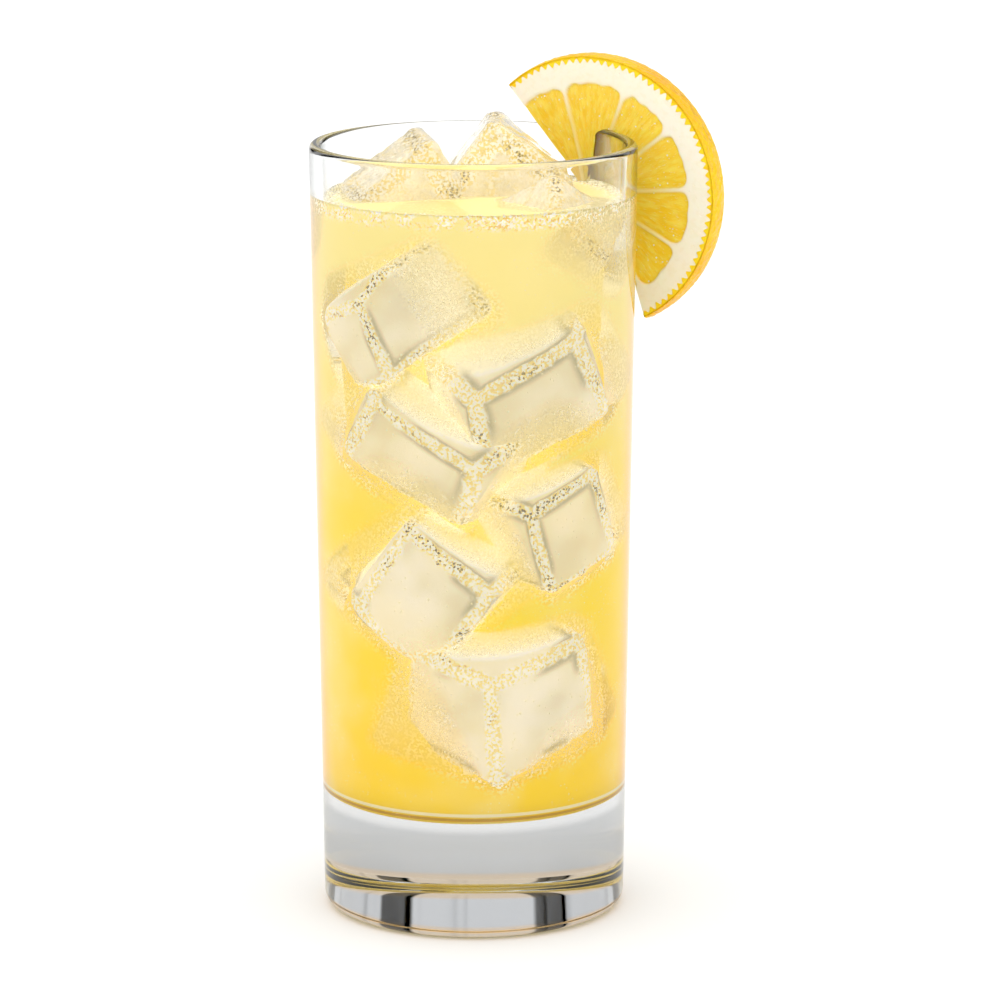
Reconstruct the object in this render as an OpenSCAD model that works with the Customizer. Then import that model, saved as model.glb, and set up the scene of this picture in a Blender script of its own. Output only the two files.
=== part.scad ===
// Glass of lemonade: a straight highball glass with a heavy base, filled with
// cloudy lemonade. Three lumps of ice stand out of the drink, and a cut lemon
// slice sits over the rim.
// Millimetres. +Z is up, -Y is the front, and the origin is the centre of the
// glass's underside.

/* [Glass] */
// Height of the glass
glass_height = 153; // [130:1:185]
// Outer diameter at the rim
rim_diameter = 64.2; // [62:0.2:80]
// Outer diameter at the foot, if the straight side ran down to the table
foot_diameter = 59.8; // [54:0.2:74]
// Thickness of the rounded lip
lip_thickness = 2.4; // [1.6:0.1:3.2]
// Thickness of the wall just above the heavy base
low_wall_thickness = 3.6; // [2.6:0.1:4.5]
// Thickness of the heavy base
base_thickness = 22; // [8:0.5:30]
// Radius between the inside floor and the wall
floor_rounding = 7; // [2:0.5:12]
// Radius of the foot's outer edge
foot_rounding = 2.8; // [1:0.1:4]

/* [Drink] */
// From the rim down to the surface of the drink
drink_gap = 10.8; // [7:0.2:20]

/* [Ice] */
// Width, depth and height of the left lump
left_size = [21.5, 16, 16]; // [12:0.5:22]
// Turns of the left lump about X, Y and Z
left_turn = [12, -36, 8]; // [-60:1:60]
// Direction of the left lump's centre from the glass's axis
left_direction = 167; // [150:1:190]
// From the glass's wall in to the left lump's centre
left_inset = 15.5; // [13:0.1:17]
// Height of the left lump's centre over the surface of the drink
left_float = 0.2; // [-4:0.1:6]
// Width, depth and height of the middle lump, which stands highest
middle_size = [22, 19, 21.5]; // [12:0.5:23]
// Turns of the middle lump about X, Y and Z
middle_turn = [3, -53, 0]; // [-60:1:60]
// Direction of the middle lump's centre from the glass's axis
middle_direction = 60; // [50:1:90]
// From the glass's wall in to the middle lump's centre
middle_inset = 18.2; // [17:0.1:22]
// Height of the middle lump's centre over the surface of the drink
middle_float = 0.6; // [-4:0.1:6]
// Width, depth and height of the right lump, which stands on one corner
right_size = [16, 16, 16]; // [12:0.5:17]
// Turns of the right lump about X, Y and Z, once its edge is at the front
right_turn = [-53, 3, 0]; // [-60:1:60]
// Direction of the right lump's centre from the glass's axis
right_direction = -30; // [-50:1:-20]
// From the glass's wall in to the right lump's centre
right_inset = 12.2; // [12:0.1:16]
// Height of the right lump's centre over the surface of the drink
right_float = -5.4; // [-9:0.1:-3]
// Share by which a lump's lower face is narrower, as it left its tray
ice_taper = 0.04; // [0:0.01:0.15]
// Radius of a lump's melted edges
ice_rounding = 2.4; // [1.5:0.1:4]
// How far a lump's corners stray from a true block
ice_unevenness = 0.5; // [0:0.1:1]

/* [Lemon slice] */
// Diameter of the lemon
lemon_diameter = 55.2; // [44:0.2:64]
// Thickness of the slice
slice_thickness = 5.6; // [4:0.1:8]
// How far the rind bulges between the two cut faces
rind_bulge = 0.6; // [0.2:0.1:1]
// Thickness of the yellow rind and the white pith together
peel_thickness = 5.4; // [3:0.1:8]
// Number of segments in the whole fruit
segment_count = 10; // [8:1:12]
// Thickness of the skin between two segments
membrane_thickness = 0.9; // [0.5:0.1:1.5]
// How far the juicy flesh lies below the skins and the pith
flesh_relief = 0.25; // [0.1:0.05:0.5]
// Turn of the slice about the vertical, its outer side towards the front
slice_turn = 27; // [15:1:32]
// Where the slice crosses the rim, as an angle from the right towards the back
slot_angle = 30; // [15:1:35]
// Distance along the slice from its centre to the middle of the slot
slot_offset = 4.45; // [2:0.05:8]
// How far the slot runs up past the slice's centre
slot_depth = 12.9; // [8:0.1:16]
// Room between the slot and the glass, on each side
slot_clearance = 0.25; // [0.15:0.05:0.5]
// Direction of the upper cut, inside the glass, from the horizontal
upper_cut_angle = 131; // [120:1:145]
// Direction of the lower cut, outside the glass, from the horizontal
lower_cut_angle = -71.5; // [-85:0.5:-60]

/* [Hidden] */
$fn = 96;

glass_colour = [0.86, 0.93, 0.95, 0.35];
drink_colour = [0.98, 0.85, 0.33];
ice_colour = [0.96, 0.93, 0.82, 0.8];
lemon_colour = [0.98, 0.83, 0.12];

// Seeds that give each lump its own stray corners
left_seed = 3;
middle_seed = 8;
right_seed = 21;
// Brings a lump's upright edge to the front
edge_forward = 45;

lip_radius = lip_thickness / 2;
lip_height = glass_height - lip_radius;
drink_height = glass_height - drink_gap;
overshoot = 1;

// Radius of the straight outside at a height
function outside_radius(z) =
    (foot_diameter + (rim_diameter - foot_diameter) * z / glass_height) / 2;

// Radius of the straight inside at a height: the wall thins from base to lip
function inside_radius(z) =
    outside_radius(z) - low_wall_thickness
    + (low_wall_thickness - lip_thickness) * (z - base_thickness)
      / (lip_height - base_thickness);

// Unit vector at an angle
function toward(angle) = [cos(angle), sin(angle)];

// Radius of the drink's surface, and of the middle of the lip
bore_radius = inside_radius(drink_height);
wall_middle = outside_radius(lip_height) - lip_radius;

// The way the slice runs, seen from above, and the centre of its front face
slice_run = toward(-slice_turn);
slice_centre = wall_middle * toward(slot_angle) - slot_offset * slice_run;
// The front face's plane stands this far from the glass's axis
slice_distance = wall_middle * sin(slot_angle + slice_turn);
// The slot's outer side on the front face, and the corner where both cuts meet
slot_outer = slot_offset
    + sqrt(pow(wall_middle + lip_radius + slot_clearance, 2) - pow(slice_distance, 2))
    - sqrt(pow(wall_middle, 2) - pow(slice_distance, 2));
cut_corner = slot_outer * [1, tan(upper_cut_angle)];

// Half outline of a straight-sided round body with a rounded lower edge
module round_half(low_radius, high_radius, low_z, high_z, rounding) {
    lean = atan((high_radius - low_radius) / (high_z - low_z));
    centre = [low_radius + rounding * tan(lean) - rounding / cos(lean), low_z + rounding];
    polygon([
        [0, low_z],
        [centre.x, low_z],
        centre,
        centre + rounding * toward(-lean),
        [high_radius, high_z],
        [0, high_z]
    ]);
    intersection() {
        translate(centre) circle(rounding);
        polygon([
            [centre.x, low_z - overshoot],
            centre,
            centre + rounding * toward(-lean),
            centre + 2 * rounding * toward(-lean),
            [centre.x + 2 * rounding, low_z - overshoot]
        ]);
    }
}

// Half outline of the space inside the glass, up to a height
module inside_half(top) {
    round_half(inside_radius(base_thickness), inside_radius(top), base_thickness, top,
        floor_rounding);
}

module glass() {
    color(glass_colour)
        rotate_extrude() {
            difference() {
                round_half(outside_radius(0), outside_radius(lip_height), 0, lip_height,
                    foot_rounding);
                inside_half(lip_height + overshoot);
            }
            intersection() {
                translate([wall_middle, lip_height]) circle(lip_radius);
                translate([wall_middle - lip_thickness, lip_height])
                    square([2 * lip_thickness, lip_thickness]);
            }
        }
}

// A lump of ice: a block with melted edges and slightly stray corners
module ice_lump(size, seed) {
    reach = size / 2 - ice_rounding * [1, 1, 1];
    stray = rands(-ice_unevenness, ice_unevenness, 24, seed);
    hull()
        for (x = [0, 1], y = [0, 1], z = [0, 1]) {
            corner = 3 * (4 * x + 2 * y + z);
            narrow = 1 - ice_taper * (1 - z);
            translate([
                reach.x * narrow * (2 * x - 1) + stray[corner],
                reach.y * narrow * (2 * y - 1) + stray[corner + 1],
                reach.z * (2 * z - 1) + stray[corner + 2]
            ]) sphere(ice_rounding, $fn = 24);
        }
}

// Carries a lump to its place in the surface of the drink
module afloat(direction, inset, float_height) {
    place = (bore_radius - inset) * toward(direction);
    translate([place.x, place.y, drink_height + float_height]) children();
}

module ice_left() {
    color(ice_colour)
        difference() {
            afloat(left_direction, left_inset, left_float)
                rotate(left_turn) ice_lump(left_size, left_seed);
            ice_middle();
        }
}

module ice_middle() {
    color(ice_colour)
        afloat(middle_direction, middle_inset, middle_float)
            rotate(middle_turn) ice_lump(middle_size, middle_seed);
}

module ice_right() {
    color(ice_colour)
        difference() {
            afloat(right_direction, right_inset, right_float)
                rotate(right_turn) rotate(edge_forward) ice_lump(right_size, right_seed);
            ice_middle();
        }
}

// Outline of the slice's whole disc, with its rind bulging between the faces
module slice_half() {
    radius = lemon_diameter / 2;
    bow = (pow(slice_thickness / 2, 2) + pow(rind_bulge, 2)) / (2 * rind_bulge);
    translate([0, -slice_thickness]) square([radius - rind_bulge, slice_thickness]);
    intersection() {
        translate([radius - bow, -slice_thickness / 2]) circle(bow);
        translate([max(0, radius - bow), -slice_thickness]) square([2 * bow, slice_thickness]);
    }
}

// The juicy part of one segment, as a shallow hollow in a cut face
module segment_hollow(turn) {
    half_angle = 180 / segment_count;
    far = lemon_diameter;
    inset = membrane_thickness / 2 / sin(half_angle);
    linear_extrude(2 * flesh_relief, center = true)
        intersection() {
            circle(lemon_diameter / 2 - peel_thickness);
            rotate(turn) translate([inset, 0])
                polygon([[0, 0], far * toward(-half_angle), far * toward(half_angle)]);
        }
}

// What the two cuts take away from the disc, below and inside
module cut_away() {
    far = 2 * lemon_diameter;
    turn_between = (upper_cut_angle + 360 + lower_cut_angle) / 2;
    translate([0, 0, -slice_thickness - overshoot])
        linear_extrude(slice_thickness + 2 * overshoot)
            polygon([
                cut_corner,
                cut_corner + far * toward(upper_cut_angle),
                cut_corner + far * toward(turn_between),
                cut_corner + far * toward(lower_cut_angle)
            ]);
}

// The glass's wall and lip with the slot's clearance round them
module slot_ring() {
    rotate_extrude() {
        polygon([
            [inside_radius(base_thickness) - slot_clearance, base_thickness],
            [outside_radius(base_thickness) + slot_clearance, base_thickness],
            [wall_middle + lip_radius + slot_clearance, lip_height],
            [wall_middle - lip_radius - slot_clearance, lip_height]
        ]);
        translate([wall_middle, lip_height]) circle(lip_radius + slot_clearance);
    }
}

module lemon_slice() {
    color(lemon_colour)
        difference() {
            translate([slice_centre.x, slice_centre.y, glass_height + slot_clearance - slot_depth])
                rotate([90, 0, -slice_turn])
                    difference() {
                        rotate_extrude() slice_half();
                        cut_away();
                        for (i = [0 : segment_count - 1], face = [0, -slice_thickness])
                            translate([0, 0, face])
                                segment_hollow((i + 0.5) * 360 / segment_count);
                    }
            slot_ring();
        }
}

module lemonade() {
    color(drink_colour)
        difference() {
            rotate_extrude() inside_half(drink_height);
            ice_left();
            ice_middle();
            ice_right();
            lemon_slice();
        }
}

glass();
lemonade();
ice_left();
ice_middle();
ice_right();
lemon_slice();
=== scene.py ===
# Glass of lemonade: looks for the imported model. Blender 4.5, metres, +Z up, -Y is the front.
import math
import bpy
import numpy as np
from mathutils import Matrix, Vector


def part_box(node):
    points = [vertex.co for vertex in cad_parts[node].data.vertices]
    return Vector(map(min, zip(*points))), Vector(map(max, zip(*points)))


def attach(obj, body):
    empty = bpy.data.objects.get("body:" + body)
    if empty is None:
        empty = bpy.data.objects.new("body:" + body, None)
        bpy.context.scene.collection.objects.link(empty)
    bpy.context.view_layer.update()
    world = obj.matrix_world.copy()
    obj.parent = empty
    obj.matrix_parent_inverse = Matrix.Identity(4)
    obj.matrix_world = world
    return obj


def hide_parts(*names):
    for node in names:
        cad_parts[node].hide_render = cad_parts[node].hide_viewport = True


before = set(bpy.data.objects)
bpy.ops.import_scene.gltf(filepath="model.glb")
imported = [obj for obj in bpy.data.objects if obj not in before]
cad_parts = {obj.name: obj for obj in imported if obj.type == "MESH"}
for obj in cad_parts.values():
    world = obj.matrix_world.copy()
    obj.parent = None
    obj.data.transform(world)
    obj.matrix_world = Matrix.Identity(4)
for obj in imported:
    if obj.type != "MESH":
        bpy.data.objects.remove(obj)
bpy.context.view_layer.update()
mm = 0.001
print("frame loaded:", sorted(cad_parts))


# small helpers

class Sock:
    # Wraps one node output, so that shader maths can be written as plain expressions
    def __init__(self, tree, socket):
        self.tree = tree
        self.socket = socket

    def maths(self, operation, *others):
        node = self.tree.nodes.new("ShaderNodeMath")
        node.operation = operation
        for slot, value in enumerate((self,) + others):
            if isinstance(value, Sock):
                self.tree.links.new(value.socket, node.inputs[slot])
            else:
                node.inputs[slot].default_value = value
        return Sock(self.tree, node.outputs[0])

    def flipped(self, operation, other):
        node = self.tree.nodes.new("ShaderNodeMath")
        node.operation = operation
        node.inputs[0].default_value = other
        self.tree.links.new(self.socket, node.inputs[1])
        return Sock(self.tree, node.outputs[0])

    def __add__(self, other):
        return self.maths("ADD", other)

    def __radd__(self, other):
        return self.flipped("ADD", other)

    def __sub__(self, other):
        return self.maths("SUBTRACT", other)

    def __rsub__(self, other):
        return self.flipped("SUBTRACT", other)

    def __mul__(self, other):
        return self.maths("MULTIPLY", other)

    def __rmul__(self, other):
        return self.flipped("MULTIPLY", other)

    def __truediv__(self, other):
        return self.maths("DIVIDE", other)

    def __pow__(self, other):
        return self.maths("POWER", other)

    def least(self, other):
        return self.maths("MINIMUM", other)

    def most(self, other):
        return self.maths("MAXIMUM", other)

    def ramp(self, low, high):
        # 0 below low, 1 above high, smooth between; low may be the larger one
        node = self.tree.nodes.new("ShaderNodeMapRange")
        node.interpolation_type = "SMOOTHSTEP"
        self.tree.links.new(self.socket, node.inputs["Value"])
        node.inputs["From Min"].default_value = min(low, high)
        node.inputs["From Max"].default_value = max(low, high)
        node.inputs["To Min"].default_value = 0.0 if low < high else 1.0
        node.inputs["To Max"].default_value = 1.0 if low < high else 0.0
        return Sock(self.tree, node.outputs["Result"])


class Finish:
    # A material (or world) under construction: add() makes any node, noise() and mix() the common ones
    def __init__(self, name, owner=None):
        self.material = owner or bpy.data.materials.new(name)
        self.material.use_nodes = True
        self.tree = self.material.node_tree
        self.shader = self.tree.nodes.get("Principled BSDF")
        self.output = self.tree.nodes.get("Material Output")

    def add(self, kind, settings=None, **inputs):
        node = self.tree.nodes.new("ShaderNode" + kind)
        for key, value in (settings or {}).items():
            setattr(node, key, value)
        for key, value in inputs.items():
            self.feed(node, key.replace("_", " "), value)
        return node

    def feed(self, node, key, value):
        slot = node.inputs[int(key)] if key.isdigit() else node.inputs[key]
        if isinstance(value, Sock):
            self.tree.links.new(value.socket, slot)
        else:
            slot.default_value = value

    def out(self, node, name=0):
        return Sock(self.tree, node.outputs[name])

    def coords(self, scale=(1, 1, 1)):
        place = self.out(self.add("TexCoord"), "Object")
        return self.out(self.add("Mapping", Vector=place, Scale=scale))

    def noise(self, scale, detail=2.0, roughness=0.5, vector=None):
        node = self.add("TexNoise", Vector=vector or self.coords(), Scale=scale, Detail=detail,
                        Roughness=roughness)
        return self.out(node, 0)

    def cells(self, scale, feature="F1", vector=None, randomness=1.0):
        node = self.add("TexVoronoi", {"feature": feature}, Vector=vector or self.coords(), Scale=scale,
                        Randomness=randomness)
        return self.out(node, "Distance")

    def attribute(self, name):
        return self.out(self.add("Attribute", {"attribute_name": name}), "Fac")

    def mix(self, factor, first, second):
        node = self.add("Mix", {"data_type": "RGBA"})
        for slot, value in ((0, factor), (6, first), (7, second)):
            if isinstance(value, Sock):
                self.tree.links.new(value.socket, node.inputs[slot])
            else:
                node.inputs[slot].default_value = value if slot == 0 else (*value, 1.0)
        return Sock(self.tree, node.outputs[2])

    def bump(self, height, strength, distance):
        node = self.add("Bump", Height=height, Strength=strength, Distance=distance)
        return self.out(node)

    def surface(self, shader=None, **inputs):
        for key, value in inputs.items():
            name = key.replace("_", " ")
            if isinstance(value, tuple) and len(value) == 3 and "Color" in name:
                value = (*value, 1.0)
            self.feed(shader or self.shader, name, value)
        return self.material


def colour(code):
    # Linear colour of a hexadecimal screen colour
    channels = [int(code[i:i + 2], 16) / 255 for i in (0, 2, 4)]
    return tuple(c / 12.92 if c <= 0.04045 else ((c + 0.055) / 1.055) ** 2.4 for c in channels)


def newPiece(name, points, faces, material, smooth=True, attributes=None):
    # Puts arrays of points and of faces (a list of arrays, one for each number of corners) into a mesh
    mesh = bpy.data.meshes.new(name)
    groups = [np.asarray(f, int) for f in faces if len(f)]
    mesh.vertices.add(len(points))
    mesh.vertices.foreach_set("co", np.asarray(points, np.float32).ravel())
    corners = np.concatenate([g.ravel() for g in groups])
    counts = np.concatenate([np.full(len(g), g.shape[1]) for g in groups])
    mesh.loops.add(len(corners))
    mesh.loops.foreach_set("vertex_index", corners.astype(np.int32))
    mesh.polygons.add(len(counts))
    mesh.polygons.foreach_set("loop_start", np.concatenate([[0], np.cumsum(counts)[:-1]]).astype(np.int32))
    mesh.polygons.foreach_set("use_smooth", np.full(len(counts), smooth))
    for key, values in (attributes or {}).items():
        mesh.attributes.new(key, "FLOAT", "POINT").data.foreach_set("value", np.asarray(values, np.float32))
    mesh.update(calc_edges=True)
    mesh.validate()
    piece = bpy.data.objects.new(name, mesh)
    bpy.context.scene.collection.objects.link(piece)
    mesh.materials.append(material)
    return piece


def turned(profile, segments):
    # Carries a half outline, from axis to axis, round the Z axis: rings of points and a point at each pole
    profile = np.asarray(profile, float)
    turn = np.linspace(0, 2 * np.pi, segments, endpoint=False)
    rings = profile[1:-1]
    points = np.stack([rings[:, :1] * np.cos(turn), rings[:, :1] * np.sin(turn),
                       np.repeat(rings[:, 1:], segments, 1)], -1).reshape(-1, 3)
    points = np.concatenate([points, [[0, 0, profile[0, 1]], [0, 0, profile[-1, 1]]]])
    i, j = np.meshgrid(np.arange(len(rings) - 1), np.arange(segments), indexing="ij")
    k = (j + 1) % segments
    quads = np.stack([i * segments + j, i * segments + k, (i + 1) * segments + k, (i + 1) * segments + j], -1)
    j = np.arange(segments)
    k = (j + 1) % segments
    last = (len(rings) - 1) * segments
    first = len(points) - 2
    end = len(points) - 1
    low = np.stack([np.full(segments, first), k, j], -1)
    high = np.stack([np.full(segments, end), last + j, last + k], -1)
    return points, [quads.reshape(-1, 4), np.concatenate([low, high])]


def arc(centre, radius, start, end, steps):
    # Points on a round stretch of outline, from one angle to another, in degrees
    angle = np.radians(np.linspace(start, end, steps))
    return np.stack([centre[0] + radius * np.cos(angle), centre[1] + radius * np.sin(angle)], -1)


def blockGrid(n):
    # The surface of a cube from -1 to 1 as a shared grid, closer together near its edges
    t = np.sin(np.pi / 2 * np.linspace(-1, 1, n + 1))
    a, b = (g.ravel() for g in np.meshgrid(t, t, indexing="ij"))
    i, j = (g.ravel() for g in np.meshgrid(np.arange(n), np.arange(n), indexing="ij"))
    first = i * (n + 1) + j
    quad = np.stack([first, first + n + 1, first + n + 2, first + 1], -1)
    points, quads = [], []
    for axis in range(3):
        for side in (-1, 1):
            face = np.empty((len(a), 3))
            face[:, axis] = side
            face[:, (axis + 1) % 3] = a
            face[:, (axis + 2) % 3] = b
            quads.append((quad if side > 0 else quad[:, ::-1]) + len(a) * len(points))
            points.append(face)
    whole, back = np.unique(np.round(np.concatenate(points), 7), axis=0, return_inverse=True)
    return whole, back.ravel()[np.concatenate(quads)]


def turnMatrix(angles):
    # Turns about X, then Y, then Z, in degrees
    x, y, z = np.radians(angles)
    about = [np.array([[1, 0, 0], [0, math.cos(x), -math.sin(x)], [0, math.sin(x), math.cos(x)]]),
             np.array([[math.cos(y), 0, math.sin(y)], [0, 1, 0], [-math.sin(y), 0, math.cos(y)]]),
             np.array([[math.cos(z), -math.sin(z), 0], [math.sin(z), math.cos(z), 0], [0, 0, 1]])]
    return about[2] @ about[1] @ about[0]


def ripple(points, length, seed):
    # Smooth unevenness from -1 to 1: the mean of six sine waves with their own directions
    rng = np.random.default_rng(seed)
    waves = rng.normal(size=(6, 3)) * 2 * np.pi / length / 1.7
    return np.sin(points @ waves.T + rng.uniform(0, 6.28, 6)).mean(1) * 1.6


def smooth(value, low, high):
    # 0 below low, 1 above high, and smooth between
    t = np.clip((value - low) / (high - low), 0, 1)
    return t * t * (3 - 2 * t)


def stackUp(parts):
    # Joins (points, quads, attributes) of several lumps or bubbles into one
    start = np.concatenate([[0], np.cumsum([len(p[0]) for p in parts])[:-1]])
    quads = np.concatenate([p[1] + s for p, s in zip(parts, start)])
    attributes = {key: np.concatenate([p[2][key] for p in parts]) for key in parts[0][2]}
    return np.concatenate([p[0] for p in parts]), quads, attributes


# sizes that all pieces share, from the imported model

glassLow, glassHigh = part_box("glass")
drinkLow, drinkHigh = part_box("lemonade")
glassHeight = glassHigh.z
drinkTop = drinkHigh.z
baseTop = drinkLow.z

wall = {"footRadius": 29.9 * mm, "rimRadius": 32.1 * mm, "lip": 2.4 * mm, "lowWall": 3.6 * mm,
        "floorRound": 7 * mm, "footRound": 2.8 * mm}
lipRadius = wall["lip"] / 2
lipHeight = glassHeight - lipRadius


def outerRadius(z):
    # straight from the foot to the rim
    return wall["footRadius"] + (wall["rimRadius"] - wall["footRadius"]) * z / glassHeight


def innerRadius(z):
    # the wall thins from the base to the lip
    part = (z - baseTop) / (lipHeight - baseTop)
    return outerRadius(z) - wall["lowWall"] + (wall["lowWall"] - wall["lip"]) * part


# glass

glassLook = {"index": 1.5, "waviness": 0.03, "tint": (0.985, 0.99, 0.99), "amber": colour("F0B70C"),
             "edge": colour("8F928C"), "base": (0.51, 0.525, 0.54), "edgeShadeAmount": 0.9}


def makeGlass():
    lean = math.degrees(math.atan((outerRadius(glassHeight) - wall["footRadius"]) / glassHeight))
    foot = (wall["footRadius"] - wall["footRound"] * 0.99, wall["footRound"])
    lip = (outerRadius(lipHeight) - lipRadius, lipHeight)
    bend = (innerRadius(baseTop) - wall["floorRound"] * 0.993, baseTop + wall["floorRound"])
    inLean = math.degrees(math.atan((innerRadius(lipHeight) - innerRadius(baseTop)) / (lipHeight - baseTop)))
    outZ = np.linspace(6 * mm, lipHeight - 0.5 * mm, 26)
    inZ = np.linspace(lipHeight - 0.5 * mm, baseTop + wall["floorRound"] + 1 * mm, 26)
    flat = np.linspace(0, 1, 9)[:, None]
    profile = np.concatenate([
        flat[:-1] * [foot[0], 0],
        arc(foot, wall["footRound"], -90, -lean, 14),
        np.stack([outerRadius(outZ), outZ], -1),
        arc(lip, lipRadius, -lean, 180 - inLean, 18),
        np.stack([innerRadius(inZ), inZ], -1),
        arc(bend, wall["floorRound"], -inLean, -90, 20),
        flat[::-1][1:] * [bend[0], 0] + [0, baseTop]])
    points, faces = turned(profile, 256)
    look = Finish("clear_glass")
    wave = look.noise(14.0, 1.0)
    # painted shade where the glass is seen edge on: grey on the dry glass and amber beside the drink,
    # only a little of it from the longer path through the glass; the thick base is greyer all over
    height = look.out(look.add("SeparateXYZ", Vector=look.out(look.add("TexCoord"), "Object")), "Z")
    wet = height.ramp(baseTop + 0.5 * mm, baseTop + 6 * mm)
    wet = wet * height.ramp(drinkTop + 1.2 * mm, drinkTop + 0.4 * mm)
    edgeOn = look.out(look.add("LayerWeight", Blend=0.5), "Facing").ramp(0.62, 0.9)
    thick = height.ramp(baseTop + 1 * mm, baseTop - 1 * mm)
    # painted reflection: an amber ring on the foot, in place of the drink reflected in the base's bottom edge
    footReflection = height.ramp(3.0 * mm, 2.2 * mm) * height.ramp(0.1 * mm, 0.5 * mm)
    edgeShadeColour = look.mix(wet, glassLook["edge"], glassLook["amber"])
    tint = look.mix(thick, glassLook["tint"], glassLook["base"])
    tint = look.mix(edgeOn * glassLook["edgeShadeAmount"], tint, edgeShadeColour)
    tint = look.mix(footReflection * 0.5, tint, colour("E8A81C"))
    look.surface(Base_Color=tint, Transmission_Weight=1.0, Roughness=0.0, IOR=glassLook["index"],
                 Normal=look.bump(wave, glassLook["waviness"], 1 * mm))
    piece = newPiece("glass_body", points, faces, look.material)
    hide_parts("glass")
    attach(piece, "root")
    print("glass made")


makeGlass()


# ice: the lumps' shapes

iceShape = {"rounding": 2.6 * mm, "stray": 0.7 * mm, "relief": 0.12 * mm, "edgeRelief": 0.28 * mm}

# place of the centre, turns about X, Y and Z, and size, for each lump sunk in the drink
frontLumps = [
    ((-12.5, -17.0, 122.5), (-16, -33, 12), (27, 18, 18)),
    ((8.0, -17.0, 108.5), (26, -24, 24), (28, 19, 21)),
    ((-7.0, -18.0, 97), (28, 28, -22), (29, 18, 17)),
    ((13.0, -16.0, 81.5), (14, -22, 44), (20, 19, 20)),
    ((-7.5, -18.0, 69), (16, 36, -10), (22, 18, 24)),
    ((5.0, -17.0, 48), (18, -18, 42), (26, 24, 24)),
]
backLumps = [
    ((14, 14, 112), (20, 30, -30), (20, 18, 20)),
    ((-12, 15, 98), (30, -20, 20), (21, 18, 18)),
    ((12, 15, 82), (-20, 15, 10), (20, 19, 20)),
    ((-14, 12, 70), (15, 40, 35), (20, 18, 20)),
    ((10, 15.5, 56), (-25, -25, -15), (22, 18, 18)),
    ((-11, 15, 42), (18, 24, 40), (21, 19, 20)),
]
lumps = [{"place": np.array(p) * mm, "turn": turnMatrix(t), "half": np.array(s) * mm / 2, "seed": 11 + k}
         for k, (p, t, s) in enumerate(frontLumps + backLumps)]


# the lumps afloat, for where the drink clears round them
floatTurns = {"ice_left": turnMatrix((12, -36, 8)), "ice_middle": turnMatrix((3, -53, 0)),
              "ice_right": turnMatrix((-53, 3, 0)) @ turnMatrix((0, 0, 45))}
floatSizes = {"ice_left": (21.5, 16, 16), "ice_middle": (22, 19, 21.5), "ice_right": (16, 16, 16)}
floats = [{"place": np.array((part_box(node)[0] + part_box(node)[1]) / 2), "turn": floatTurns[node],
           "half": np.array(floatSizes[node]) * mm / 2} for node in floatTurns]


def depthInLumps(points):
    # Distance to the nearest lump's surface, negative inside: a rounded box, all lumps at once
    nearest = np.full(len(points), 1.0)
    for lump in lumps + floats:
        inner = np.abs((points - lump["place"]) @ lump["turn"]) - (lump["half"] - iceShape["rounding"])
        away = np.linalg.norm(np.maximum(inner, 0), axis=1) + np.minimum(inner.max(1), 0)
        nearest = np.minimum(nearest, away - iceShape["rounding"])
    return nearest


def lumpSurface(lump, grid):
    # p = inner + rounding * (cube - inner) / |cube - inner|, with inner the cube point held inside the block
    cube = grid * lump["half"]
    reach = lump["half"] - iceShape["rounding"]
    inner = np.clip(cube, -reach, reach)
    out = cube - inner
    out /= np.linalg.norm(out, axis=1, keepdims=True)
    points = inner + iceShape["rounding"] * out
    edge = smooth(np.sort(np.abs(grid), 1)[:, 1], 0.56, 0.98)
    rng = np.random.default_rng(lump["seed"])
    for corner in ((x, y, z) for x in (-1, 1) for y in (-1, 1) for z in (-1, 1)):
        share = np.prod((1 + grid * corner) / 2, 1)[:, None]
        points = points + share * rng.uniform(-1, 1, 3) * iceShape["stray"]
    relief = ripple(points, 9 * mm, lump["seed"]) * iceShape["relief"]
    relief += edge * (ripple(points, 2.6 * mm, lump["seed"] + 50) - 0.3) * iceShape["edgeRelief"]
    points = points + out * relief[:, None]
    return points @ lump["turn"].T + lump["place"], edge


# ice: the finish

iceLook = {"clear": 0.62, "cream": colour("FCF1DA"), "grey": colour("E2D6B4"), "froth": colour("FFFBEA"),
           "shadow": colour("A79B6C"), "speck": colour("54461C"), "glow": 0.48, "floatGlow": 0.14}


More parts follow.
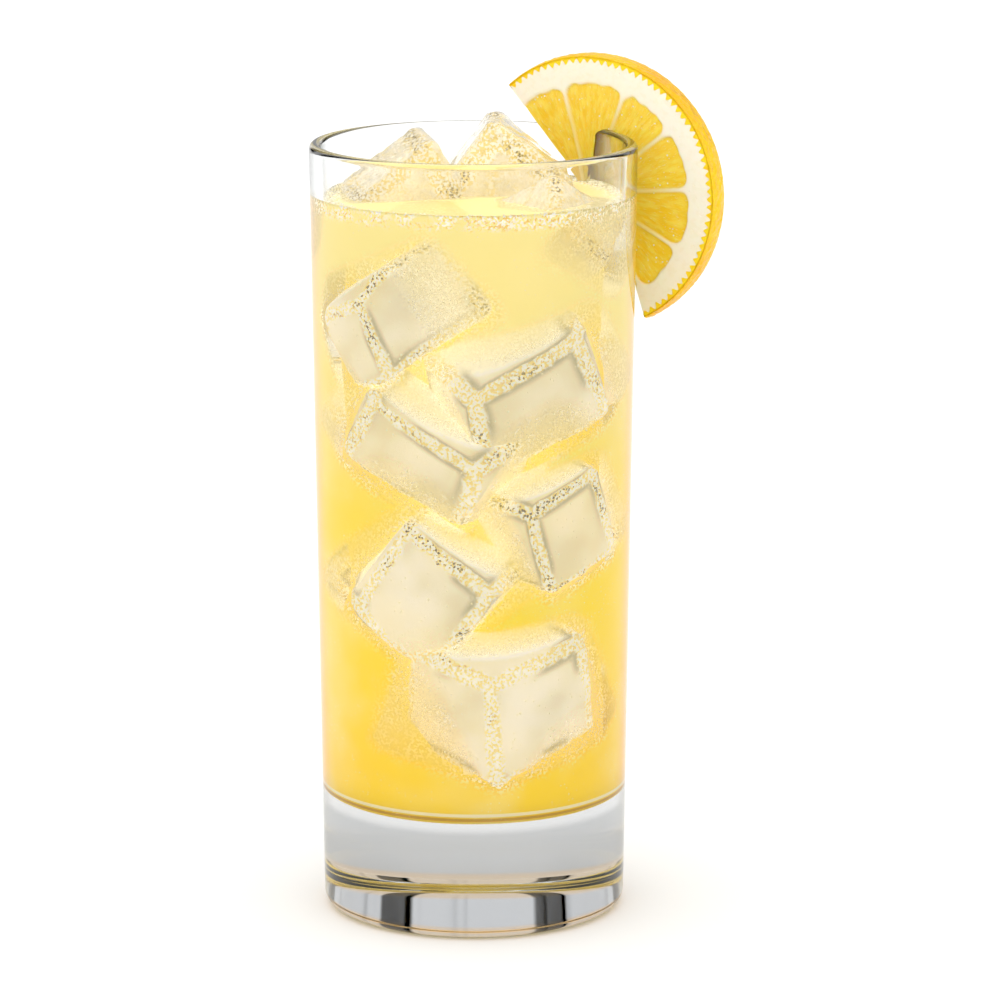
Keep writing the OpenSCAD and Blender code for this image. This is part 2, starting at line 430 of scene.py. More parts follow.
def iceFinish(name, clear, glow, warmth, roughness, hammered):
    look = Finish(name)
    edge = look.attribute("edge")
    soft = look.noise(70.0, 2.0)
    mottled = look.noise(420.0, 2.0)
    flecks = look.noise(1800.0, 1.0)
    dots = look.cells(1700.0)
    upward = look.out(look.add("SeparateXYZ", Vector=look.out(look.add("NewGeometry"), "Normal")), "Z")
    face = look.mix(soft.ramp(0.35, 0.65), iceLook["cream"], iceLook["grey"])
    face = look.mix(look.noise(38.0, 1.0).ramp(0.35, 0.65) * warmth, face, colour("FBDD70"))
    # painted light: faces that point up are painted whiter, as if lit from above
    face = look.mix(upward.ramp(0.0, 0.7) * 0.7, face, (1.0, 1.0, 0.95))
    # froth: white and pale yellow flecks along the edges; on the floating lumps (hammered) they spread all
    # over, where they are partly painted highlight
    frothy = ((edge * (1 - hammered * 0.6) + hammered * 0.55) * 1.7 + mottled * 1.0 - 1.2).ramp(0.0, 0.5)
    froth = look.mix(flecks.ramp(0.42, 0.56), colour("F4D878"), iceLook["froth"])
    shadow = edge.ramp(0.02, 0.45) * look.noise(62.0, 1.0).ramp(0.47, 0.6)
    face = look.mix(shadow * 0.75, face, iceLook["shadow"])
    base = look.mix(frothy * 0.85, face, froth)
    patchy = look.noise(75.0, 1.0).ramp(0.5 - hammered * 0.1, 0.6)
    specked = (edge * 0.8 + mottled * 0.9 + hammered * 0.12).ramp(0.95, 1.15) * (1 - dots.ramp(0.35, 0.6))
    specked = specked * flecks.ramp(0.6, 0.45) * patchy
    base = look.mix(specked * 0.95, base, iceLook["speck"])
    height = soft * 0.4 + (mottled * (0.9 + hammered) + flecks * 0.35) * (edge * (1 - hammered) + hammered)
    # the colour also glows (Emission): painted light that brightens the ice
    return look.surface(Base_Color=base, Roughness=roughness, IOR=1.31, Transmission_Weight=clear,
                        Coat_Weight=0.1 + hammered, Coat_Roughness=0.04, Emission_Color=base,
                        Emission_Strength=glow, Normal=look.bump(height, 0.7, (0.9 + hammered) * mm))


sunkFinish = iceFinish("sunk_ice", 0.0, iceLook["glow"], 0.3, 0.25, 0.0)
floatFinish = iceFinish("floating_ice", iceLook["clear"], iceLook["floatGlow"], 0.0, 0.02, 0.9)


def makeSunkIce():
    grid, quads = blockGrid(28)
    parts = []
    for lump in lumps:
        points, edge = lumpSurface(lump, grid)
        parts.append((points, quads, {"edge": edge}))
    points, quads, attributes = stackUp(parts)
    # held inside the drink: no point comes nearer the wall or the surface than a small margin
    across = np.hypot(points[:, 0], points[:, 1])
    most = innerRadius(points[:, 2]) - 0.25 * mm
    points[:, :2] *= np.minimum(1, most / across)[:, None]
    points[:, 2] = np.minimum(points[:, 2], drinkTop - 2.5 * mm)
    piece = newPiece("sunk_ice", points, [quads], sunkFinish, attributes=attributes)
    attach(piece, "root")
    print("sunk ice made:", len(lumps), "lumps")


makeSunkIce()


# ice afloat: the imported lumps, with melted surfaces

afloat = {"detail": 72, "relief": 0.16 * mm, "edgeRelief": 0.25 * mm, "seam": 0.05 * mm}


def planesOf(node):
    # Outward unit normals and distances of a packed lump's outermost faces
    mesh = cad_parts[node].data
    points = np.empty(len(mesh.vertices) * 3)
    mesh.vertices.foreach_get("co", points)
    points = points.reshape(-1, 3)
    normals = np.empty(len(mesh.polygons) * 3)
    mesh.polygons.foreach_get("normal", normals)
    normals = normals.reshape(-1, 3)
    first = np.empty(len(mesh.polygons) * 3, int)
    mesh.polygons.foreach_get("vertices", first)
    far = (normals * points[first.reshape(-1, 3)[:, 0]]).sum(1)
    outermost = (points @ normals.T).max(0) < far + 0.01 * mm
    return normals[outermost], far[outermost], points


def makeFloatingIce():
    grid, quads = blockGrid(afloat["detail"])
    middleNormals, middleFar = planesOf("ice_middle")[:2]
    for seed, node in enumerate(("ice_left", "ice_middle", "ice_right")):
        normals, far, points = planesOf(node)
        centre = (points.max(0) + points.min(0)) / 2
        turn = floatTurns[node]
        way = grid / np.linalg.norm(grid, axis=1, keepdims=True) @ turn.T
        # the first outermost face that a ray from the centre meets
        slope = way @ normals.T
        reach = np.where(slope > 1e-6, (far - normals @ centre) / np.maximum(slope, 1e-6), 1.0).min(1)
        if node != "ice_middle":
            # or where the ray enters the middle lump
            slope = way @ middleNormals.T
            room = middleFar - middleNormals @ centre
            enter = np.where(slope < -1e-6, room / np.minimum(slope, -1e-6), -1.0).max(1)
            leave = np.where(slope > 1e-6, room / np.maximum(slope, 1e-6), 1.0).min(1)
            met = (enter > 0) & (enter < leave)
            reach = np.where(met, np.minimum(reach, enter - afloat["seam"]), reach)
        surface = centre + way * reach[:, None]
        edge = smooth(np.sort(np.abs(grid), 1)[:, 1], 0.6, 0.97)
        relief = ripple(surface, 3.2 * mm, seed) + 0.5 * ripple(surface, 7 * mm, seed + 4) - 1.5
        relief = relief * afloat["relief"]
        relief += edge * (ripple(surface, 2.2 * mm, seed + 9) - 1) * afloat["edgeRelief"]
        surface = surface + way * relief[:, None]
        piece = newPiece(node + "_melted", surface, [quads], floatFinish, attributes={"edge": edge})
        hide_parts(node)
        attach(piece, "root")
    print("floating ice made")


makeFloatingIce()


# lemonade

# glow stands in for the light that a cloudy drink scatters inside itself
drink = {"intoWall": 0.1 * mm, "fade": 13 * mm, "halo": 0.7 * mm, "least": 0.04, "depthRadius": 19 * mm,
         "frothReach": 1.5 * mm, "meniscus": 0.9 * mm, "climb": 1.1 * mm, "glow": 0.27, "depthGlow": 0.5,
         "top": colour("F9E692"), "middle": colour("FCDC30"), "low": colour("FCD210")}


def makeDrink():
    segments = 330
    side = np.linspace(baseTop + wall["floorRound"], drinkTop + drink["meniscus"], 175)
    wetRadius = innerRadius(baseTop + wall["floorRound"]) + drink["intoWall"]
    bend = (wetRadius - wall["floorRound"] - drink["intoWall"], baseTop + wall["floorRound"])
    lower = arc(bend, wall["floorRound"] + drink["intoWall"], -90, 0, 14)[:-1]
    bottom = np.linspace(0, 1, 12)[:-1, None] * [bend[0], 0] + [0, baseTop - drink["intoWall"]]
    inward = np.linspace(0, 1, 60)[1:] ** 1.6
    edgeRadius = innerRadius(side[-1]) + drink["intoWall"]
    topRadius = edgeRadius * (1 - inward)
    # the surface climbs the wall: height = meniscus * e^(-distance / climb)
    topHeight = drinkTop + drink["meniscus"] * np.exp(-(edgeRadius - topRadius) / drink["climb"])
    profile = np.concatenate([bottom, lower, np.stack([innerRadius(side) + drink["intoWall"], side], -1),
                              np.stack([topRadius, topHeight], -1)])
    points, faces = turned(profile, segments)
    # looks inward from each point for ice: cloud = 1 - e^(-(depth / fade + clearance / halo))
    across = np.hypot(points[:, 0], points[:, 1]) + 1e-9
    upper = (points[:, 2] > drinkTop - 0.1 * mm) & (across < edgeRadius - 2 * mm)
    into = np.where(upper[:, None], [0, 0, -1.0], np.stack([-points[:, 0] / across, -points[:, 1] / across,
                                                             np.zeros(len(points))], -1))
    thick = np.full(len(points), 9.0)
    near = np.zeros(len(points))
    for step in np.arange(0, 11, 0.5) * mm:
        clearance = np.maximum(depthInLumps(points + into * step), 0)
        thick = np.minimum(thick, step / drink["fade"] + clearance / drink["halo"])
        near = np.maximum(near, np.exp(-(clearance / drink["frothReach"]) ** 2 - step / (5 * mm)))
    cloud = np.maximum(1 - np.exp(-thick), drink["least"])
    cloud = np.where(points[:, 2] < baseTop + 3 * mm, 1.0, cloud)
    band = smooth(points[:, 2], drinkTop - 2.7 * mm, drinkTop - 1.2 * mm)
    band *= np.where(across < edgeRadius - 0.3 * mm, 1 - smooth(edgeRadius - across, 1.5 * mm, 5 * mm), 1)
    near = np.maximum(near * np.where(upper, 0.5, 1), band)
    cloud = np.where(upper, np.maximum(cloud, 0.45), cloud)

    look = Finish("cloudy_lemonade")
    height = look.out(look.add("SeparateXYZ", Vector=look.out(look.add("TexCoord"), "Object")), "Z")
    shade = look.mix(height.ramp(drinkTop - 6 * mm, drinkTop - 70 * mm), drink["top"], drink["middle"])
    shade = look.mix(height.ramp(baseTop + 50 * mm, baseTop), shade, drink["low"])
    drift = look.noise(60.0, 2.0)
    shade = look.mix(drift.ramp(0.4, 0.75) * 0.35, shade, colour("FBE9A0"))
    # painted light and shade: a dark amber line and a white line where the drink meets the rounded floor
    line = height.ramp(baseTop + 0.7 * mm, baseTop + 1.1 * mm)
    line = line * height.ramp(baseTop + 1.9 * mm, baseTop + 1.5 * mm)
    shade = look.mix(line * 0.75, shade, colour("B97F0C"))
    line = height.ramp(baseTop + 1.9 * mm, baseTop + 2.2 * mm)
    line = line * height.ramp(baseTop + 2.9 * mm, baseTop + 2.6 * mm)
    shade = look.mix(line * 0.7, shade, colour("FFF7DA"))
    # froth round the ice and along the wall: white flecks and amber hollows between them
    flecks, hollows = look.noise(1800.0, 1.0), look.noise(1500.0, 1.0)
    foam = look.attribute("near") * look.noise(260.0, 2.0).ramp(0.25, 0.6)
    shade = look.mix(foam * flecks.ramp(0.49, 0.56), shade, colour("FFFBEA"))
    shade = look.mix(foam * hollows.ramp(0.54, 0.62) * 0.7, shade, colour("E6B428"))
    specks = look.cells(1300.0).ramp(0.16, 0.08) * look.noise(120.0, 2.0).ramp(0.45, 0.6)
    shade = look.mix(specks * 0.7, shade, colour("FFFCF0"))
    look.surface(Base_Color=shade, Roughness=0.35, IOR=1.33, Specular_IOR_Level=0.1, Emission_Color=shade,
                 Emission_Strength=drink["glow"], Normal=look.bump(flecks * foam, 0.5, 0.4 * mm))
    clear = look.add("BsdfPrincipled", Roughness=0.0, IOR=1.33)
    look.surface(clear, Base_Color=(1.0, 0.97, 0.86), Transmission_Weight=1.0)
    both = look.add("MixShader")
    cloudy = look.attribute("cloud")
    foamy = foam * cloudy.ramp(0.02, 0.3) * flecks.ramp(0.48, 0.56) * 0.6
    look.feed(both, "0", (cloudy + foamy).least(1.0))
    look.tree.links.new(clear.outputs[0], both.inputs[1])
    look.tree.links.new(look.shader.outputs[0], both.inputs[2])
    look.tree.links.new(both.outputs[0], look.output.inputs["Surface"])
    piece = newPiece("lemonade_body", points, faces, look.material, attributes={"cloud": cloud, "near": near})
    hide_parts("lemonade")
    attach(piece, "root")
    print("lemonade made")


def makeDepth():
    # the cloudy drink further in, which shows between and behind the lumps
    low = baseTop + 3 * mm
    high = drinkTop - 5 * mm
    radius = drink["depthRadius"]
    bendRadius = 5 * mm
    side = np.linspace(low + bendRadius, high - bendRadius, 62)[1:-1]
    profile = np.concatenate([
        [[0, low], [radius * 0.5, low]],
        arc((radius - bendRadius, low + bendRadius), bendRadius, -90, 0, 7),
        np.stack([np.full(60, radius), side], -1),
        arc((radius - bendRadius, high - bendRadius), bendRadius, 0, 90, 7),
        [[radius * 0.5, high], [0, high]]])
    points, faces = turned(profile, 120)
    points[:, :2] *= (1 + 0.03 * ripple(points, 30 * mm, 4))[:, None]
    look = Finish("deep_lemonade")
    cloudy = look.noise(45.0, 2.0)
    shade = look.mix(cloudy.ramp(0.3, 0.7), drink["middle"], drink["top"])
    look.surface(Base_Color=shade, Roughness=0.6, Specular_IOR_Level=0.0, Emission_Color=shade,
                 Emission_Strength=drink["depthGlow"])
    piece = newPiece("lemonade_depth", points, faces, look.material)
    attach(piece, "root")
    print("cloudy core made")


makeDrink()
makeDepth()


# froth and small bubbles

froth = {"count": 900, "wallTries": 5000, "small": 0.16 * mm, "large": 0.62 * mm, "band": 1.7 * mm}


def ballGrid(n):
    grid, quads = blockGrid(n)
    return grid / np.linalg.norm(grid, axis=1, keepdims=True), quads


def scatterBalls(name, centres, radii, material):
    # points = centre + radius * ball, for every bubble at once
    ball, quads = ballGrid(3)
    points = (centres[:, None] + radii[:, None, None] * ball).reshape(-1, 3)
    faces = (quads + len(ball) * np.arange(len(centres))[:, None, None]).reshape(-1, 4)
    piece = newPiece(name, points, [faces], material)
    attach(piece, "root")
    return piece


def makeFroth():
    rng = np.random.default_rng(5)
    count = froth["count"]
    radii = froth["small"] + (froth["large"] - froth["small"]) * rng.beta(1.1, 4.0, count)
    turn = rng.uniform(0, 2 * np.pi, count)
    inset = radii + np.abs(rng.normal(0, 0.9 * mm, count))
    height = drinkTop + rng.uniform(-0.6, 0.55, count) * froth["band"] * np.exp(-inset / (6 * mm))
    across = innerRadius(drinkTop) - inset
    centres = np.stack([across * np.cos(turn), across * np.sin(turn), height], -1)
    look = Finish("froth_bubbles")
    # the bubbles also glow a little: painted light that brightens them
    look.surface(Base_Color=colour("FFF6CF"), Roughness=0.08, IOR=1.33, Coat_Weight=0.5,
                 Emission_Color=(*colour("FFF2B8"), 1.0), Emission_Strength=0.15)
    scatterBalls("froth_ring", centres, radii, look.material)
    print("froth made:", count, "bubbles")


def makeBubbles():
    # tiny bubbles that cling to the wall, most of them beside the ice
    rng = np.random.default_rng(17)
    tries = froth["wallTries"]
    turn = rng.uniform(0, 2 * np.pi, tries)
    height = rng.uniform(baseTop + 9 * mm, drinkTop - 2 * mm, tries)
    radii = rng.uniform(0.10, 0.24, tries) * mm
    across = innerRadius(height) - radii * 0.35
    centres = np.stack([across * np.cos(turn), across * np.sin(turn), height], -1)
    inner = centres * [0.9, 0.9, 1]
    clearance = np.maximum(np.minimum(depthInLumps(centres), depthInLumps(inner)), 0)
    kept = rng.uniform(0, 1, tries) < 0.02 + 0.5 * np.exp(-(clearance / (1.4 * mm)) ** 2)
    look = Finish("wall_bubbles")
    # the bubbles also glow a little: painted light that brightens them
    look.surface(Base_Color=colour("FFF8DC"), Roughness=0.1, IOR=1.33,
                 Emission_Color=(*colour("FFF2C0"), 1.0), Emission_Strength=0.3)
    scatterBalls("wall_bubbles", centres[kept], radii[kept], look.material)
    print("bubbles made:", int(kept.sum()))


makeFroth()
makeBubbles()


# lemon slice

lemon = {"radius": 27.6 * mm, "thickness": 5.6 * mm, "bulge": 0.6 * mm, "turn": 27, "slotAngle": 30,
         "slotOffset": 4.45 * mm, "slotDepth": 12.9 * mm, "clearance": 0.25 * mm,
         "upperCut": 131, "lowerCut": -71.5, "flesh": 21.9 * mm, "glands": 104.0,
         "seams": (105.7, 69.4, 37.8, 5.3, -26.9, -57.6, -92, 140)}


def lemonPlace():
    # Axes and centre of the slice: along it, up, and out of its front face
    wallMiddle = outerRadius(lipHeight) - lipRadius
    turn, slotTurn = math.radians(lemon["turn"]), math.radians(lemon["slotAngle"])
    run = np.array([math.cos(turn), -math.sin(turn), 0])
    out = np.array([-math.sin(turn), -math.cos(turn), 0])
    centre = wallMiddle * np.array([math.cos(slotTurn), math.sin(slotTurn), 0]) - lemon["slotOffset"] * run
    centre[2] = glassHeight + lemon["clearance"] - lemon["slotDepth"]
    return centre, np.stack([run, [0, 0, 1], out])


def seamDistance(u, v):
    # Distance to the nearest skin between two segments, and which segment it is
    turn = np.arctan2(v, u)
    angles = np.radians(np.sort(lemon["seams"]))
    gaps = (turn[:, None] - angles + np.pi) % (2 * np.pi) - np.pi
    reach = np.hypot(u, v)[:, None]
    away = np.where(np.abs(gaps) < np.pi / 2, reach * np.abs(np.sin(gaps)), reach)
    return away.min(1), (turn[:, None] > angles).sum(1)


def fleshMask(u, v):
    # 1 inside a segment's juicy part: away from the skins, and rounded off at its outer corners
    away, segment = seamDistance(u, v)
    radius = np.hypot(u, v)
    inset = 0.26 * mm
    corner = 2.2 * mm
    toSkin = away - inset
    toPith = lemon["flesh"] + 0.25 * mm * ripple(np.stack([u, v, u * 0], -1), 5 * mm, 3) - radius
    rounded = corner - np.hypot(np.maximum(corner - toSkin, 0), np.maximum(corner - toPith, 0))
    room = np.minimum(np.minimum(toSkin, toPith), rounded)
    return smooth(room, -0.12 * mm, 0.3 * mm), room, segment


def lemonRelief(u, v, face):
    # Height of a cut face above the flat: flesh a little sunken and pebbled, pith about level, rind sloping
    # down towards the edge
    flesh, room, segment = fleshMask(u, v)
    radius = np.hypot(u, v)
    turn = np.arctan2(v, u)
    spot = np.stack([turn * 9 * mm, radius * 0.35, segment * 3 * mm + face * 20 * mm], -1)
    sacs = ripple(spot, 1.3 * mm, 5) * 0.09 * mm + ripple(spot, 3.1 * mm, 6) * 0.10 * mm
    dome = 0.22 * mm * smooth(room, 0, 3 * mm)
    height = flesh * (sacs + dome - 0.40 * mm)
    edge = smooth(radius, lemon["radius"] - 1.3 * mm, lemon["radius"] - 0.2 * mm)
    return height - 0.35 * mm * edge ** 3 - 0.05 * mm


def makeLemon():
    centre, axes = lemonPlace()
    radius, thick = lemon["radius"], lemon["thickness"]
    wallMiddle = outerRadius(lipHeight) - lipRadius
    distance = wallMiddle * math.sin(math.radians(lemon["turn"] + lemon["slotAngle"]))
    outside = math.sqrt((wallMiddle + lipRadius + lemon["clearance"]) ** 2 - distance ** 2)
    outerSide = lemon["slotOffset"] + outside - math.sqrt(wallMiddle ** 2 - distance ** 2)
    corner = outerSide * np.array([1, math.tan(math.radians(lemon["upperCut"]))])
    spokes, rings, layers = 300, 110, 12
    turn = np.radians(np.linspace(lemon["lowerCut"], lemon["upperCut"], spokes))
    way = np.stack([np.cos(turn), np.sin(turn)], -1)
    # layers of the rind: w runs from the front face to the back, the radius bulges as a half ellipse
    w = -thick / 2 * (1 - np.cos(np.linspace(0, np.pi, layers)))
    bulge = (radius - lemon["bulge"]) + lemon["bulge"] * np.sqrt(np.maximum(0, 1 - (2 * w / thick + 1) ** 2))
    bulge = bulge - 0.02 * mm

    def rimReach(limit):
        # way from the corner to a circle of radius limit, along each spoke
        along = way @ corner
        return -along + np.sqrt(along ** 2 + limit ** 2 - corner @ corner)

    part = np.linspace(0, 1, rings + 1)

    def spread(spokeWay, reach, depth):
        # points (u, v, w) of one layer: corner + part * reach * way
        uv = corner + part[:, None, None] * reach[None, :, None] * spokeWay[None]
        return np.concatenate([uv, np.full(uv.shape[:2] + (1,), depth)], -1)

    sheets = []
    for k, face in ((0, 1), (layers - 1, -1)):
        sheet = spread(way, rimReach(bulge[k]), w[k])
        flat = sheet.reshape(-1, 3)
        flat[:, 2] += face * lemonRelief(flat[:, 0], flat[:, 1], face)
        sheets.append(sheet)
    front, back = sheets
    rim = np.stack([corner + rimReach(b)[:, None] * way for b in bulge])
    rim = np.concatenate([rim, np.repeat(w[:, None], spokes, 1)[..., None]], -1)
    # the glands of the rind: shallow dimples on the bulging side
    dimple = ripple(rim.reshape(-1, 3), 1.5 * mm, 8).reshape(rim.shape[:2]) * 0.09 * mm
    dimple = dimple * np.sin(np.linspace(0, np.pi, layers))[:, None]
    rim[..., :2] *= (1 + (dimple - 0.05 * mm) / radius)[..., None]
    rim[0], rim[-1] = front[-1], back[-1]

    def quadsOf(rows, columns, start, flip):
        i, j = (g.ravel() for g in np.meshgrid(np.arange(rows - 1), np.arange(columns - 1), indexing="ij"))
        first = i * columns + j
        quad = np.stack([first, first + columns, first + columns + 1, first + 1], -1)
        return (quad[:, ::-1] if flip else quad) + start

    blocks, faces, start = [], [], 0
    cuts = []
    for side in (0, -1):
        # a cut end: rows from front to back, each from the corner to the rim
        depth = ((w - w[0]) / (w[-1] - w[0]))[:, None, None]
        cut = front[None, :, side] * (1 - depth) + back[None, :, side] * depth
        cut = cut + (rim[:, side] - cut[:, -1])[:, None] * part[None, :, None] ** 8
        cuts.append(cut)
    for grid, flip in ((front, False), (back, True), (rim, False), (cuts[0], True), (cuts[1], False)):
        faces.append(quadsOf(grid.shape[0], grid.shape[1], start, flip))
        blocks.append(grid.reshape(-1, 3))
        start += grid.shape[0] * grid.shape[1]
    local = np.concatenate(blocks)
    quads = np.concatenate(faces)
    # shared points become one
    whole, back = np.unique(np.round(local / 1e-7).astype(np.int64), axis=0, return_inverse=True)
    quads = back.ravel()[quads]
    world = whole * 1e-7 @ axes + centre
    # a quad with two corners in one place becomes a triangle
    a, b, c, d = quads.T
    slim = (a == d) | (b == c) | (a == b) | (c == d)
    corners = quads[slim]
    endsMeet = (corners[:, 0] == corners[:, 3])[:, None]
    middleMeets = (corners[:, 1] == corners[:, 2])[:, None]
    rest = np.where(middleMeets, corners[:, [0, 1, 3]], corners[:, [0, 2, 3]])
    triangles = np.where(endsMeet, corners[:, [0, 1, 2]], rest)
    piece = newPiece("lemon_wheel", world, [quads[~slim], triangles], lemonFinish())

    # the slot: the glass's wall and lip, with room round them, are taken out
    room = lemon["clearance"] * 0.6
    low = drinkTop - 12 * mm
    lip = (outerRadius(lipHeight) - lipRadius, lipHeight)
    ringOutline = np.concatenate([
        [[outerRadius(low) + room, low]],
        arc(lip, lipRadius + room, 0, 180, 14),
        [[innerRadius(low) - room, low]]])
    cutter = ringPiece("slot_cutter", ringOutline, 200, piece.data.materials[0])
    cut = piece.modifiers.new("slot", "BOOLEAN")
    cut.object = cutter
    cut.operation = "DIFFERENCE"
    cut.solver = "EXACT"
    cutMesh = bpy.data.meshes.new_from_object(piece.evaluated_get(bpy.context.evaluated_depsgraph_get()))
    piece.modifiers.clear()
    piece.data = cutMesh
    cutterMesh = cutter.data
    bpy.data.objects.remove(cutter)
    bpy.data.meshes.remove(cutterMesh)

    # regions for the finish, from each point's place on the slice
    count = len(cutMesh.vertices)
    points = np.empty(count * 3)
    cutMesh.vertices.foreach_get("co", points)
    place = (points.reshape(-1, 3) - centre) @ axes.T
    u, v, w = place.T
    flesh, fleshRoom, segment = fleshMask(u, v)
    reach = np.hypot(u, v)
    side = smooth(reach, lemon["radius"] - 0.72 * mm, lemon["radius"] - 0.5 * mm)
    values = {"flesh": flesh, "reach": reach / mm, "side": side, "room": fleshRoom / mm}
    for key, value in values.items():
        old = cutMesh.attributes.get(key)
        if old:
            cutMesh.attributes.remove(old)
        cutMesh.attributes.new(key, "FLOAT", "POINT").data.foreach_set("value", value.astype(np.float32))
    fibrePlace = np.stack([np.arctan2(v, u) * 14, reach / mm * 0.22, segment * 2.0 + w / mm * 0.3], -1)
    cutMesh.attributes.new("fibre", "FLOAT_VECTOR", "POINT").data.foreach_set(
        "vector", fibrePlace.astype(np.float32).ravel())
    cutMesh.polygons.foreach_set("use_smooth", np.ones(len(cutMesh.polygons), bool))
    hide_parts("lemon_slice")
    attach(piece, "root")
    print("lemon slice made:", count, "points")


def ringPiece(name, outline, segments, material):
    # A closed outline carried round the Z axis
    outline = np.asarray(outline)
    turn = np.linspace(0, 2 * np.pi, segments, endpoint=False)
    points = np.stack([outline[:, :1] * np.cos(turn), outline[:, :1] * np.sin(turn),
                       np.repeat(outline[:, 1:], segments, 1)], -1).reshape(-1, 3)
    i, j = (g.ravel() for g in np.meshgrid(np.arange(len(outline)), np.arange(segments), indexing="ij"))
    i2, j2 = (i + 1) % len(outline), (j + 1) % segments
    quads = np.stack([i * segments + j, i * segments + j2, i2 * segments + j2, i2 * segments + j], -1)
    return newPiece(name, points, [quads], material, smooth=False)


def lemonFinish():
    look = Finish("lemon")
    flesh, reach, side = look.attribute("flesh"), look.attribute("reach"), look.attribute("side")
    room = look.attribute("room")
    fibre = Sock(look.tree, look.add("Attribute", {"attribute_name": "fibre"}).outputs["Vector"])
    strands = look.noise(1.6, 3.0, vector=fibre)
    fine = look.noise(5.0, 2.0, vector=fibre)
    grain = look.noise(1500.0, 2.0)
    # the yellow rind meets the white pith in a row of oil glands round the fruit
    glands = look.cells(560.0)
    across = look.out(look.add("SeparateXYZ", Vector=fibre), "X")
    lobes = (across * (lemon["glands"] / 14.0)).maths("SINE")
    line = reach + lobes * 0.42 + glands * 0.5
    rind = line.ramp(26.35, 26.6)
    inner = look.mix(strands.ramp(0.35, 0.7), colour("F5C81C"), colour("FADD50"))
    inner = look.mix(room.ramp(3.5, 0.2) * 0.35, inner, colour("F9D430"))
    inner = look.mix((fine.ramp(0.6, 0.72)) * 0.45, inner, colour("FBEBA4"))
    # painted highlight: white glints on the juice sacs, put into the base colour
    sparkle = look.cells(900.0).ramp(0.2, 0.12) * look.noise(300.0, 1.0).ramp(0.5, 0.6)
    sparkle = sparkle * reach.ramp(6.0, 15.0)
    inner = look.mix(sparkle * 0.9, inner, colour("FFFDF2"))
    pale = look.mix(reach.ramp(14.0, 22.2), colour("FAE08C"), colour("FBF3E0"))
    dull = look.noise(900.0, 2.0).ramp(0.45, 0.7) * 0.35 * reach.ramp(21.0, 22.5)
    pale = look.mix(dull, pale, colour("F3E8CA"))
    base = look.mix(flesh, pale, inner)
    yellow = look.mix(glands.ramp(0.15, 0.5), colour("FCCB00"), colour("FFDC18"))
    base = look.mix(rind, base, yellow)
    skin = look.mix(look.noise(60.0, 2.0).ramp(0.3, 0.7), colour("FBB800"), colour("FFCC08"))
    base = look.mix(side, base, skin)
    dents = look.cells(640.0)
    height = flesh * (strands * 0.6 + fine * 0.45) + side * (dents * 2.4 + look.noise(900.0, 1.0) * 1.4)
    height = height + grain * 0.12 * (1 - flesh)
    height = height + rind * glands * 0.6 - sparkle * 0.3
    return look.surface(Base_Color=base, Roughness=0.55 - flesh * 0.33 - side * 0.2, IOR=1.4,
                        Subsurface_Weight=0.25, Subsurface_Scale=2 * mm, Coat_Weight=flesh * 0.5,
                        Coat_Roughness=0.12, Normal=look.bump(height, 0.7, 0.35 * mm))


makeLemon()


# floor, light and camera

studio = {"floor": (0.93, 0.93, 0.93), "floorSize": 8.0, "floorGap": 0.15 * mm, "floorGlow": 0.07}


def makeStage():
    size = studio["floorSize"]
    mesh = bpy.data.meshes.new("floor")
    corners = [(x * size, y * size, -studio["floorGap"]) for x, y in ((-1, -1), (1, -1), (1, 1), (-1, 1))]
    mesh.from_pydata(corners, [], [(0, 1, 2, 3)])
    floor = bpy.data.objects.new("floor", mesh)
    bpy.context.scene.collection.objects.link(floor)
    look = Finish("floor")
    look.surface(Base_Color=studio["floor"], Roughness=0.9, Specular_IOR_Level=0.0,
                 Emission_Color=(1.0, 1.0, 1.0, 1.0), Emission_Strength=studio["floorGlow"])
    mesh.materials.append(look.material)


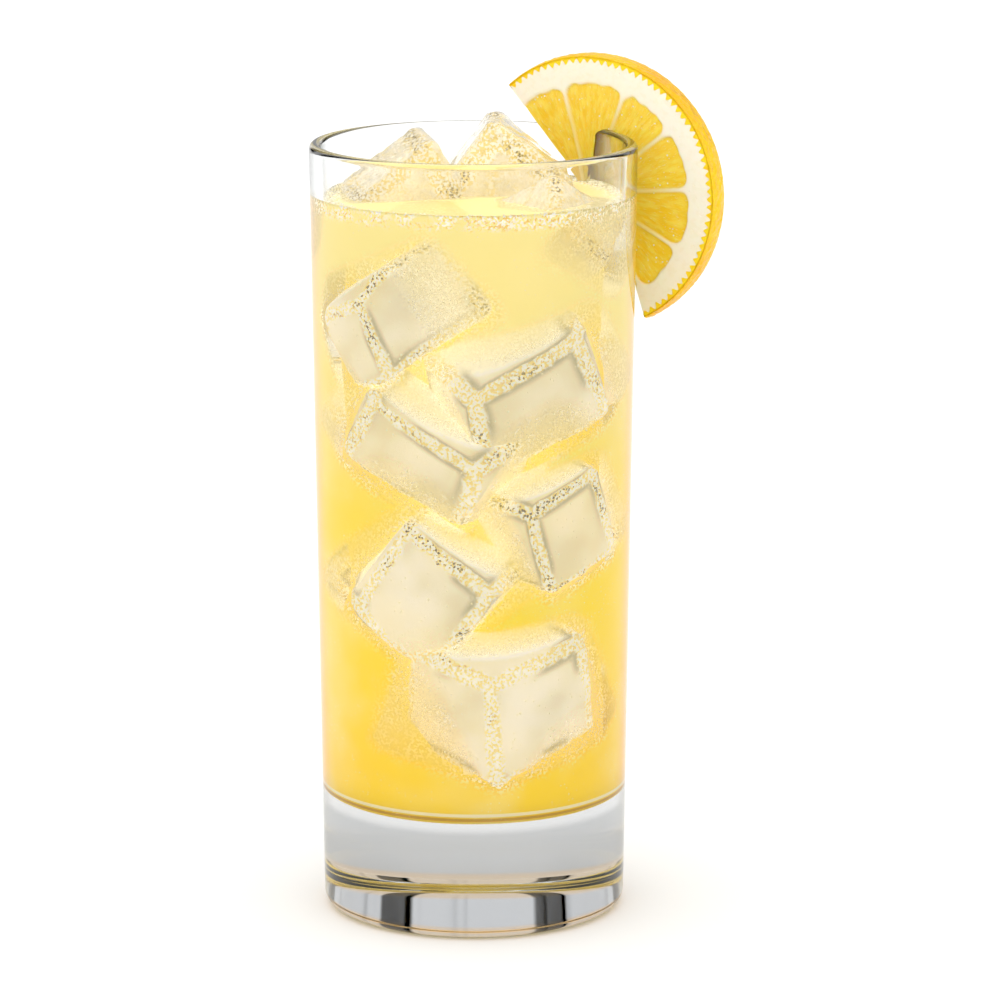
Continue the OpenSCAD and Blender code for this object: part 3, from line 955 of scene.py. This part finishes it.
def makeLight():
    world = bpy.data.worlds.new("studio")
    bpy.context.scene.world = world
    look = Finish("studio", world)
    background = look.tree.nodes["Background"]
    way = look.out(look.add("TexCoord"), "Generated")
    x, y, z = (look.out(look.add("SeparateXYZ", Vector=way), name) for name in ("X", "Y", "Z"))
    around = Sock(look.tree, y.socket).maths("ARCTAN2", x)
    rays = look.add("LightPath")
    seen = look.out(rays, "Is Camera Ray")
    mirrored = look.out(rays, "Is Glossy Ray") * (1 - look.out(rays, "Is Transmission Ray"))
    scattered = look.out(rays, "Diffuse Depth").most(0.0).least(1.0)
    # the camera sees white, and diffuse surfaces get an even light; upright panels, dark and bright,
    # show only in reflections and through glass, and give the clear glass its lines
    panels = (around * 8.0).maths("COSINE").ramp(-0.62, -0.80) * z.ramp(0.85, 0.6)
    streaks = look.noise(9.0, 2.0, vector=look.out(look.add("CombineXYZ", X=around)))
    through = 1.1 - panels * 1.0 - streaks.ramp(0.5, 0.7) * 0.35 * z.ramp(0.6, 0.3)
    wave = (around * 14.0).maths("COSINE")
    aside = (around * 4.0).maths("COSINE").ramp(0.85, 0.45)
    low = z.ramp(0.75, 0.5)
    glow = 0.62 + wave.ramp(0.2, 0.55) * 0.8 * low * aside - wave.ramp(-0.3, -0.7) * 0.6 * low * aside
    glow = glow + z.ramp(0.35, 0.9) * 0.6
    key = (x * -0.35 + y * -0.55 + z * 0.76).ramp(0.0, 1.0)
    even = 1.02 + key * 0.42
    level = through * (1 - mirrored) + glow * mirrored
    level = level * (1 - scattered) + even * scattered
    level = level * (1 - seen) + 1.0 * seen
    look.feed(background, "Color", (1, 1, 1, 1))
    look.feed(background, "Strength", level)


def makeCamera():
    view = {"place": (0.0052, -1.0, 0.29364), "pitch": 0.2089, "lens": 186.16}
    camera = bpy.data.objects.new("camera", bpy.data.cameras.new("camera"))
    camera.location = view["place"]
    camera.rotation_euler = (math.pi / 2 - view["pitch"], 0, 0)
    camera.data.lens = view["lens"]
    camera.data.sensor_width = 36
    bpy.context.scene.collection.objects.link(camera)
    bpy.context.scene.camera = camera
    bpy.context.scene.view_settings.view_transform = "Standard"
    bpy.context.scene.view_settings.look = "None"
    bpy.context.scene.cycles.diffuse_bounces = 2
    bpy.context.scene.cycles.glossy_bounces = 4
    bpy.context.scene.cycles.max_bounces = 9


makeStage()
makeLight()
makeCamera()
print("stage, light and camera made")
